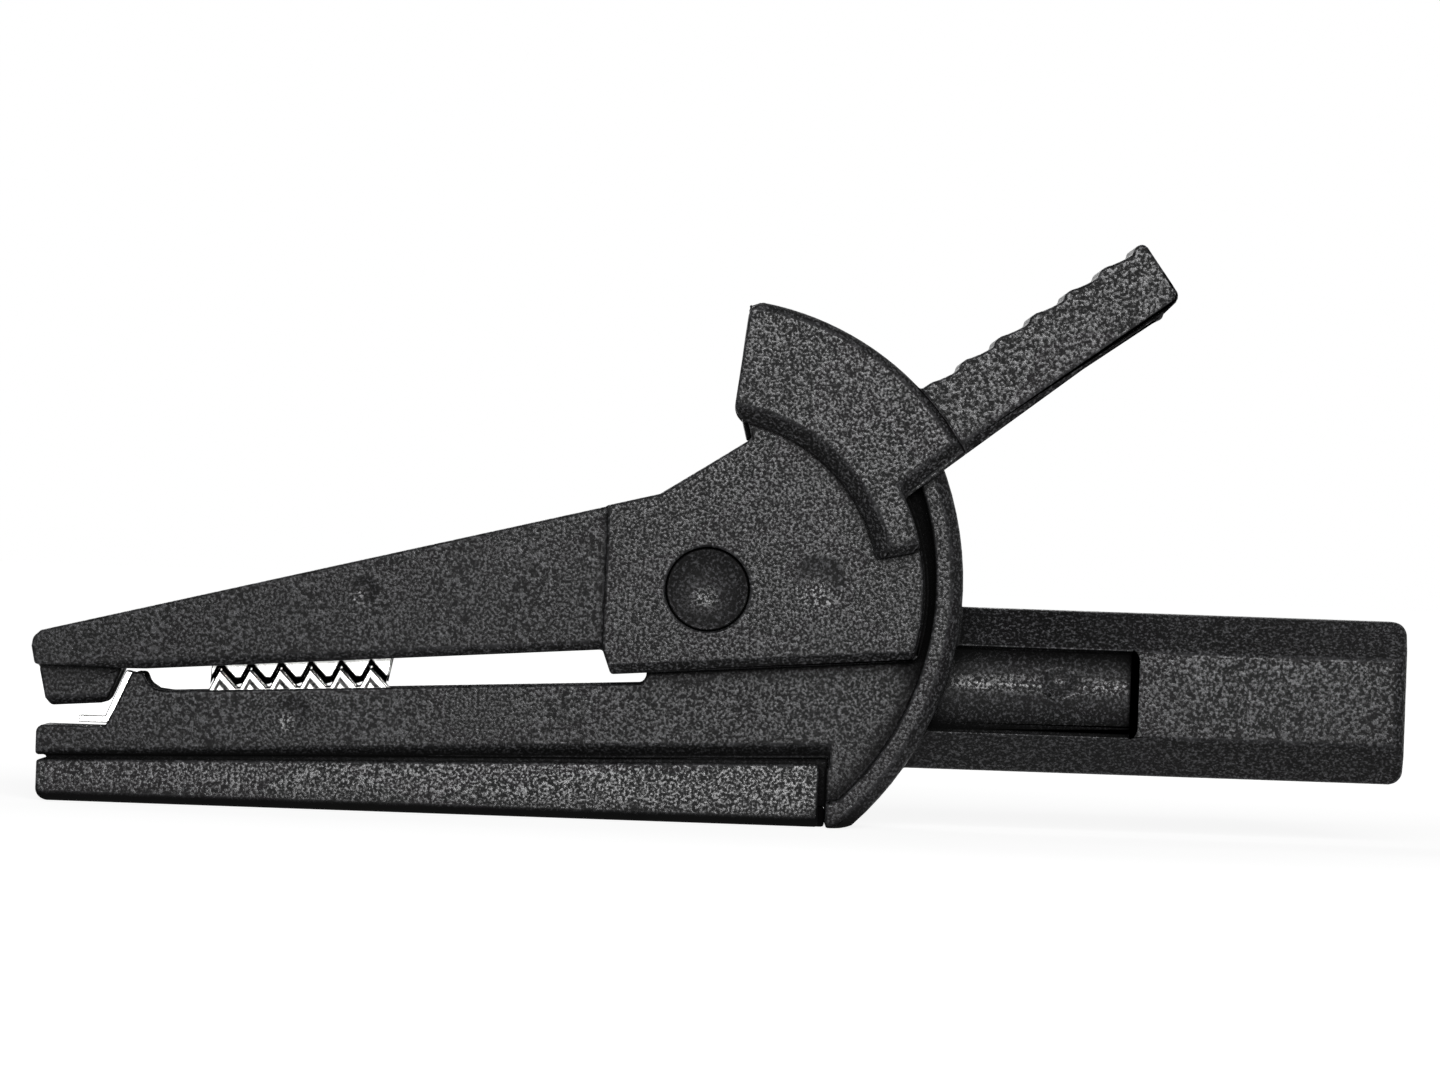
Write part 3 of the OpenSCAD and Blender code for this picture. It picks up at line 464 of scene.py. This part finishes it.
def eroded_black(name, rgb, grain, depth):
    """Matt black plastic from a spark-eroded mould.

    Pits are dark and rough, the tops between them pale and smoother, their paleness partly a
    painted glint; a cloudy tone, patchy wear on the edges that is partly a painted highlight, and
    painted black shade in crevices lie over that.
    """
    pit_tone, top_and_glint_tone, cloud_tone, wear_and_highlight_tone, crevice_shade_tone = 0.05, 4.3, 0.4, 2.0, 0.0
    pit_roughness, top_roughness, shine = 0.65, 0.18, 0.088
    cloud_size, patch_size, crevice_shade_reach = 9 * MM, 1.2 * MM, 2.2 * MM

    f = Finish(name)
    pits = f.noise(grain, detail=3.0, roughness=0.6)
    # the pale tops are the grain's tone and in part a painted glint
    specks = f.spread(pits, 0.5, 0.72)
    base = f.mix(specks, shade(rgb, pit_tone), shade(rgb, top_and_glint_tone))
    cloud = f.spread(f.noise(cloud_size, detail=3.0), 0.3, 0.7, 0.0, 0.3)
    base = f.mix(cloud, base, shade(rgb, cloud_tone))
    # patchy wear on the edges, also lightened as a painted highlight
    bevel_faces = f.node("Attribute", attribute_name="edge").outputs["Fac"]
    patchy = f.spread(f.noise(patch_size, detail=4.0), 0.4, 0.7, 0.0, 0.4)
    base = f.mix(f.times(bevel_faces, patchy), base, shade(rgb, wear_and_highlight_tone))
    # painted shade: black colour and full roughness in corners and gaps
    crevice_shade = f.crevice_shade(crevice_shade_reach)
    base = f.mix(crevice_shade, base, shade(rgb, crevice_shade_tone))
    roughness = f.spread(pits, 0.42, 0.6, pit_roughness, top_roughness)
    f.feed(base, f.math("MAXIMUM", roughness, crevice_shade), f.bump(pits, depth))
    f.shader.inputs["Specular IOR Level"].default_value = shine
    return f.material


def smooth_black(name, rgb):
    """Smoother black plastic with fine scuffs."""
    f = Finish(name)
    scuffs = f.noise(0.5 * MM, detail=4.0, roughness=0.6)
    base = f.mix(f.spread(scuffs, 0.35, 0.7), shade(rgb, 0.7), shade(rgb, 1.7))
    f.feed(base, f.spread(scuffs, 0.3, 0.7, 0.3, 0.5), f.bump(scuffs, 0.01 * MM))
    f.shader.inputs["Specular IOR Level"].default_value = 0.3
    return f.material


def plated(
    name, rgb, roughness=0.2, grain=0.25, stretch=(1, 1, 1), at_edges=1.08, teeth_shade_width=0.0
):
    """Plated metal: faint grain, cloudy plating and brighter or darker edges.

    Given a width for the teeth's band, the teeth get painted shade: a black band along the line
    between the rows, about that wide when measured square to their flanks, and a darker foot under
    it.
    """
    f = Finish(name)
    fine = f.noise(grain * MM, detail=4.0, roughness=0.6, stretch=stretch)
    cloud = f.noise(1.6 * MM, detail=3.0)
    base = f.mix(f.spread(cloud, 0.35, 0.6), shade(rgb, 0.72), shade(rgb, 1.03))
    bevel_faces = f.node("Attribute", attribute_name="edge").outputs["Fac"]
    base = f.mix(bevel_faces, base, shade(rgb, at_edges))
    if teeth_shade_width:
        foot_low, foot_high, foot_soft = -3.4 * teeth_shade_width, -2.4 * teeth_shade_width, 0.9 * teeth_shade_width
        row_shade_low, row_shade_high, row_shade_soft = -0.6 * teeth_shade_width, 1.8 * teeth_shade_width, 0.5 * teeth_shade_width
        above, row = f.above_teeth()
        # a darker band at the foot of the lower teeth
        foot = f.times(f.band(above, foot_low, foot_high, foot_soft), row)
        dark_foot = f.mix(f.spread(fine, 0.35, 0.65), shade(rgb, 0.003), shade(rgb, 0.025))
        base = f.mix(foot, base, dark_foot)
        # painted shade: a black band along the line where the rows of teeth meet
        row_shade = f.times(f.band(above, row_shade_low, row_shade_high, row_shade_soft), row)
        base = f.mix(row_shade, base, shade(rgb, 0.0))
    dull = f.spread(fine, 0.3, 0.7, roughness * 0.7, roughness * 1.5)
    f.feed(base, dull, f.bump(fine, 0.004 * MM))
    f.shader.inputs["Metallic"].default_value = 1.0
    return f.material


# Pieces


class CLIP_OT_mouldings(Operator):
    """Make the black shells: both jaws, the drum with its handle, the keel and the lever"""

    bl_idname = "clip.mouldings"
    bl_label = "Moulded shells"

    def execute(self, context):
        m = context.scene.clip_mouldings
        for node, name, slot, rgb in (
            ("lower_housing", "lower_shell", "housing_black", m.housing),
            ("jaw_keel", "keel_cover", "keel_black", m.keel),
            ("upper_housing", "upper_shell", "upper_black", m.upper),
            ("thumb_lever", "lever_shell", "lever_black", m.lever),
        ):
            finish = eroded_black(name, rgb, m.grain, m.depth)
            stands_for(softened(node, name, m.edge), node, finish)
        return {"FINISHED"}


class CLIP_OT_pivot_caps(Operator):
    """Turn the two dished caps that close the cheeks' recesses over the pivot"""

    bl_idname = "clip.pivot_caps"
    bl_label = "Pivot caps"

    def execute(self, context):
        m = context.scene.clip_mouldings
        finish = eroded_black("cap_plastic", m.cap, m.grain, m.depth)
        dish_r, top, dip = 2.55, 6.0, 0.5
        rim, foot = 2.72, 4.85
        bore, bore_end = 1.55, 5.3
        ball = (dish_r**2 + dip**2) / (2 * dip)
        across = np.linspace(0, dish_r, 14)
        dish = [(x, top - dip + ball - math.sqrt(ball**2 - x**2)) for x in across]
        rest = [(rim, top), (rim, foot), (bore, foot), (bore, bore_end), (0, bore_end)]
        for side, node in ((-1, "pivot_cap_near"), (1, "pivot_cap_far")):
            profile = eased(dish + rest, 0.1)
            piece = turned(node.replace("pivot_", "dished_"), profile, PIVOT, (0, side, 0))
            stands_for(piece, node, finish)
        return {"FINISHED"}


class CLIP_OT_contacts(Operator):
    """Make the two toothed sheets of nickel-plated steel"""

    bl_idname = "clip.contacts"
    bl_label = "Toothed contacts"

    def execute(self, context):
        m = context.scene.clip_metals
        # the contacts' edges are painted dark as shade, and the band between the rows of teeth is
        # painted shade
        finish = plated("contact_plating", m.contact, 0.18, at_edges=0.05, teeth_shade_width=m.shear)
        for node, name in (("lower_contact", "lower_teeth"), ("upper_contact", "upper_teeth")):
            stands_for(softened(node, name, m.edge), node, finish)
        return {"FINISHED"}


def wound(name, s):
    """Round wire along the spring's middle line.

    Both legs are straight and touch the coil's circle; between them the angle falls evenly and
    the place across the clip moves evenly from +half to -half.  Ring j of point i is
    c_i + r_i * (cos g_j * u_i + sin g_j * v_i), with u_i and v_i square to the wire and the
    radius r_i shrinking to nothing over the last stretch of both ends.
    """
    per_turn, leg_points, dome_points, sides = 64, 12, 7, 20
    low, up = np.array(s.lower_end), np.array(s.upper_end)
    start = math.atan2(low[1], low[0]) - math.acos(s.coil / np.linalg.norm(low))
    stop = math.atan2(up[1], up[0]) + math.acos(s.coil / np.linalg.norm(up))
    sweep = start - stop + 2 * math.pi * (s.turns + 1)
    a = start - np.linspace(0, 1, per_turn * (s.turns + 1)) * sweep
    y = np.linspace(s.half, -s.half, len(a))
    coil = np.stack([s.coil * np.cos(a), y, s.coil * np.sin(a)], -1)
    leg_steps = np.linspace(0, 1, leg_points)[:-1, None]
    first = np.array([low[0], s.half, low[1]])
    last = np.array([up[0], -s.half, up[1]])
    line = np.concatenate(
        [first + leg_steps * (coil[0] - first), coil, last + leg_steps[::-1] * (coil[-1] - last)]
    )
    turn = np.linspace(0, math.pi / 2, dome_points)[:-1, None]
    in_way = (line[1] - first) / np.linalg.norm(line[1] - first)
    out_way = (last - line[-2]) / np.linalg.norm(last - line[-2])
    head = first + in_way * s.wire * (1 - np.cos(turn))
    tail = last - out_way * s.wire * (1 - np.cos(turn[::-1]))
    dome = s.wire * np.sin(turn[:, 0])
    radius = np.concatenate([dome, np.full(len(line) - 2, s.wire), dome[::-1]])
    line = np.concatenate([head, line[1:-1], tail])
    way = np.gradient(line, axis=0)
    way /= np.linalg.norm(way, axis=1, keepdims=True)
    u = np.cross(way, [0.0, 1.0, 0.0])
    u /= np.linalg.norm(u, axis=1, keepdims=True)
    v = np.cross(way, u)
    g = np.linspace(0, 2 * np.pi, sides, endpoint=False)[None, :, None]
    round_wire = np.cos(g) * u[:, None] + np.sin(g) * v[:, None]
    rings = line[:, None] + radius[:, None, None] * round_wire
    return grid_mesh(name, PIVOT + rings, False)


class CLIP_OT_spring(Operator):
    """Wind the torsion spring round the axle"""

    bl_idname = "clip.spring"
    bl_label = "Torsion spring"

    def execute(self, context):
        s = context.scene.clip_spring
        piece = wound("wound_spring", s)
        up = np.array([s.upper_end[0], 0, s.upper_end[1]])
        up = up / np.linalg.norm(up)
        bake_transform(piece)
        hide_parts("torsion_spring")
        piece.data.materials.append(
            plated("spring_wire", context.scene.clip_metals.spring, 0.3, 0.1)
        )
        return {"FINISHED"}


class CLIP_OT_pivot_stack(Operator):
    """Turn the axle, the spacer tube and the two washers"""

    bl_idname = "clip.pivot_stack"
    bl_label = "Axle, spacer and washers"

    def execute(self, context):
        m = context.scene.clip_metals
        across = (0, 1, 0)
        pin_r, pin_end = 1.5, 5.2
        bore, round_edge = 1.55, 0.08
        tube_r, tube_end = 2.1, 2.2
        washer_r, washer_in, washer_out = 3.0, 2.75, 3.15
        turning_marks = (1, 6, 1)

        pin = eased([(0, -pin_end), (pin_r, -pin_end), (pin_r, pin_end), (0, pin_end)], 0.2)
        stands_for(
            turned("axle_pin", pin, PIVOT, across), "axle",
            plated("axle_plating", m.axle, 0.3, 0.12, turning_marks),
        )
        tube = box_profile(bore, tube_r, -tube_end, tube_end, round_edge)
        stands_for(
            turned("spacer_tube", tube, PIVOT, across, closed=True),
            "axle_spacer",
            plated("spacer_plating", m.spacer, 0.3, 0.12, turning_marks),
        )
        washer = box_profile(bore, washer_r, washer_in, washer_out, round_edge)
        rings = [
            turned(f"ring{side}", washer, PIVOT, (0, side, 0), closed=True) for side in (-1, 1)
        ]
        stands_for(
            joined("washer_pair", rings), "axle_washers",
            plated("washer_plating", m.washer, 0.35, 0.12),
        )
        return {"FINISHED"}


class CLIP_OT_socket(Operator):
    """Make the socket, the insulating post round it and the rivet of its stem"""

    bl_idname = "clip.socket"
    bl_label = "Plug socket"

    def execute(self, context):
        metals = context.scene.clip_metals
        drop, behind = 6.0, 12.2
        bore, sleeve_bore, post_r, base_r = 2.3, 2.8, 3.3, 3.8
        start, step, lip, end = 21.5, 28.9, 43.55, 45.1
        axis = PIVOT + np.array([0, 0, -drop * MM])
        stands_for(
            softened("socket_tube", "socket_sleeve", metals.edge * 2), "socket_tube",
            plated("socket_plating", metals.socket, 0.22, 0.1, (6, 1, 1)),
        )
        post = [
            (sleeve_bore, start), (base_r, start), (base_r, step), (post_r, step), (post_r, end),
            (bore, end), (bore, lip), (sleeve_bore, lip),
        ]
        stands_for(
            turned("socket_post", eased(post, 0.18, closed=True), axis, (1, 0, 0), closed=True),
            "socket_insert",
            smooth_black("post_plastic", context.scene.clip_mouldings.insert),
        )
        shank_r, foot, seat = 0.8, -7.9, -5.28
        dome = [(1.35, seat), (1.33, -5.15), (1.1, -4.95), (0.6, -4.8), (0, -4.77)]
        rivet = [(0, foot), (shank_r, foot), (shank_r, seat), *dome]
        place = PIVOT + np.array([behind * MM, 0, 0])
        stands_for(
            turned("stem_rivet", eased(rivet, 0.06), place, (0, 0, 1), steps=48),
            "tongue_rivet", plated("rivet_plating", metals.rivet, 0.3, 0.1),
        )
        return {"FINISHED"}


# Stage

VIEW_MIDDLE = (-0.000215, 0, 0.01879)
KEY_PLACE, KEY_SIZE = (0.035, -0.6, 0.112), (0.2, 0.12)
BACK_PLACE, BACK_SIZE = (-0.15, 0.6, 0.3), (0.4, 0.3)


def is_seen(tree):
    """1 for rays that come from the camera, by way of a mirror or glass too, 0 for all others."""
    path = tree.nodes.new("ShaderNodeLightPath")
    most = path.outputs["Is Camera Ray"]
    for name in ("Is Glossy Ray", "Is Transmission Ray"):
        pick = tree.nodes.new("ShaderNodeMath")
        pick.operation = "MAXIMUM"
        tree.links.new(most, pick.inputs[0])
        tree.links.new(path.outputs[name], pick.inputs[1])
        most = pick.outputs[0]
    return most


def lamp(name, place, size, aim, watts):
    """Soft rectangular lamp, aimed at a point and itself out of sight."""
    data = bpy.data.lights.new(name, "AREA")
    data.shape = "RECTANGLE"
    data.size, data.size_y = size
    data.energy = watts
    light = bpy.data.objects.new(name, data)
    light.location = place
    way = Vector(aim) - Vector(place)
    light.rotation_euler = way.to_track_quat("-Z", "Y").to_euler()
    light.visible_camera = False
    bpy.context.scene.collection.objects.link(light)
    return light


def face_on(middle, s):
    """Camera square to the clip's near side, looking at its middle and turned by the roll."""
    data = bpy.data.cameras.new("camera")
    data.lens, data.sensor_width = s.lens, 36
    away = s.view_width * s.lens / data.sensor_width
    data.clip_start, data.clip_end = 0.01, 100
    camera = bpy.data.objects.new("camera", data)
    camera.matrix_world = (
        Matrix.Translation(middle + Vector((0, -away, 0)))
        @ Matrix.Rotation(math.pi / 2, 4, "X")
        @ Matrix.Rotation(s.roll, 4, "Z")
    )
    bpy.context.scene.collection.objects.link(camera)
    bpy.context.scene.camera = camera


def surround(sky):
    """World that is white where it is seen and dim where it lights the clip."""
    world = bpy.data.worlds.new("surround")
    world.use_nodes = True
    tree = world.node_tree
    tree.nodes.clear()
    shaded, white = (tree.nodes.new("ShaderNodeBackground") for _ in range(2))
    shaded.inputs["Color"].default_value = (1, 1, 1, 1)
    shaded.inputs["Strength"].default_value = sky
    white.inputs["Color"].default_value = (1, 1, 1, 1)
    mix, out = tree.nodes.new("ShaderNodeMixShader"), tree.nodes.new("ShaderNodeOutputWorld")
    tree.links.new(is_seen(tree), mix.inputs[0])
    tree.links.new(shaded.outputs[0], mix.inputs[1])
    tree.links.new(white.outputs[0], mix.inputs[2])
    tree.links.new(mix.outputs[0], out.inputs["Surface"])
    return world


def pale_floor():
    """Pale matt floor that keeps shadows and is lifted to white where it is seen.

    The lift is a little less right under the clip than from 0.3 m on.
    """
    material = bpy.data.materials.new("pale_floor")
    material.use_nodes = True
    tree = material.node_tree
    tree.nodes.clear()
    matt = tree.nodes.new("ShaderNodeBsdfDiffuse")
    matt.inputs["Color"].default_value = (0.4, 0.4, 0.4, 1)
    faint = tree.nodes.new("ShaderNodeBsdfDiffuse")
    faint.inputs["Color"].default_value = (0.3, 0.3, 0.3, 1)
    glow = tree.nodes.new("ShaderNodeEmission")
    place = tree.nodes.new("ShaderNodeTexCoord")
    far = tree.nodes.new("ShaderNodeVectorMath")
    far.operation = "LENGTH"
    fade = tree.nodes.new("ShaderNodeMapRange")
    for key, value in (("From Min", 0.05), ("From Max", 0.3), ("To Min", 0.86), ("To Max", 1.0)):
        fade.inputs[key].default_value = value
    tree.links.new(place.outputs["Object"], far.inputs[0])
    tree.links.new(far.outputs["Value"], fade.inputs["Value"])
    tree.links.new(fade.outputs["Result"], glow.inputs["Strength"])
    seen = tree.nodes.new("ShaderNodeAddShader")
    mix, out = tree.nodes.new("ShaderNodeMixShader"), tree.nodes.new("ShaderNodeOutputMaterial")
    tree.links.new(faint.outputs[0], seen.inputs[0])
    tree.links.new(glow.outputs[0], seen.inputs[1])
    tree.links.new(is_seen(tree), mix.inputs[0])
    tree.links.new(matt.outputs[0], mix.inputs[1])
    tree.links.new(seen.outputs[0], mix.inputs[2])
    tree.links.new(mix.outputs[0], out.inputs["Surface"])
    return material


class CLIP_OT_stage(Operator):
    """Set the camera, the lamps, the white surround and the floor"""

    bl_idname = "clip.stage"
    bl_label = "Stage"

    def execute(self, context):
        s = context.scene.clip_stage
        middle = Vector(VIEW_MIDDLE)
        face_on(middle, s)
        lamp("key lamp", KEY_PLACE, KEY_SIZE, middle, s.key)
        lamp("back lamp", BACK_PLACE, BACK_SIZE, middle, s.fill)
        context.scene.world = surround(s.sky)

        reach, below = 4.0, 0.02 * MM
        mesh = bpy.data.meshes.new("floor")
        z = CAD_BOX[0][2] - below
        corners = [(-reach, -reach, z), (reach, -reach, z), (reach, reach, z), (-reach, reach, z)]
        mesh.from_pydata(corners, [], [(0, 1, 2, 3)])
        floor = bpy.data.objects.new("floor", mesh)
        context.scene.collection.objects.link(floor)
        mesh.materials.append(pale_floor())

        context.scene.view_settings.view_transform = "Standard"
        return {"FINISHED"}


OPERATORS = (
    CLIP_OT_mouldings,
    CLIP_OT_pivot_caps,
    CLIP_OT_contacts,
    CLIP_OT_spring,
    CLIP_OT_pivot_stack,
    CLIP_OT_socket,
    CLIP_OT_stage,
)


class CLIP_PT_panel(Panel):
    """Sizes, colours and the steps that make the clip"""

    bl_label = "Crocodile clip"
    bl_idname = "CLIP_PT_panel"
    bl_space_type = "VIEW_3D"
    bl_region_type = "UI"
    bl_category = "Clip"

    def draw(self, context):
        for group in GROUPS:
            box = self.layout.box()
            settings = getattr(context.scene, group)
            for key in settings.bl_rna.properties.keys():
                if key not in ("rna_type", "name"):
                    box.prop(settings, key)
        for step in OPERATORS:
            self.layout.operator(step.bl_idname)


GROUPS = {
    "clip_mouldings": ClipMouldings,
    "clip_metals": ClipMetals,
    "clip_spring": ClipSpring,
    "clip_stage": ClipStage,
}


def register():
    for made in (*GROUPS.values(), *OPERATORS, CLIP_PT_panel):
        bpy.utils.register_class(made)
    for key, group in GROUPS.items():
        setattr(bpy.types.Scene, key, PointerProperty(type=group))


def unregister():
    for key in GROUPS:
        delattr(bpy.types.Scene, key)
    for made in reversed((*GROUPS.values(), *OPERATORS, CLIP_PT_panel)):
        bpy.utils.unregister_class(made)


def main():
    """Makes every piece and the stage."""
    register()
    bpy.ops.clip.mouldings()
    bpy.ops.clip.pivot_caps()
    bpy.ops.clip.contacts()
    bpy.ops.clip.spring()
    bpy.ops.clip.pivot_stack()
    bpy.ops.clip.socket()
    bpy.ops.clip.stage()


if __name__ == "__main__":
    main()
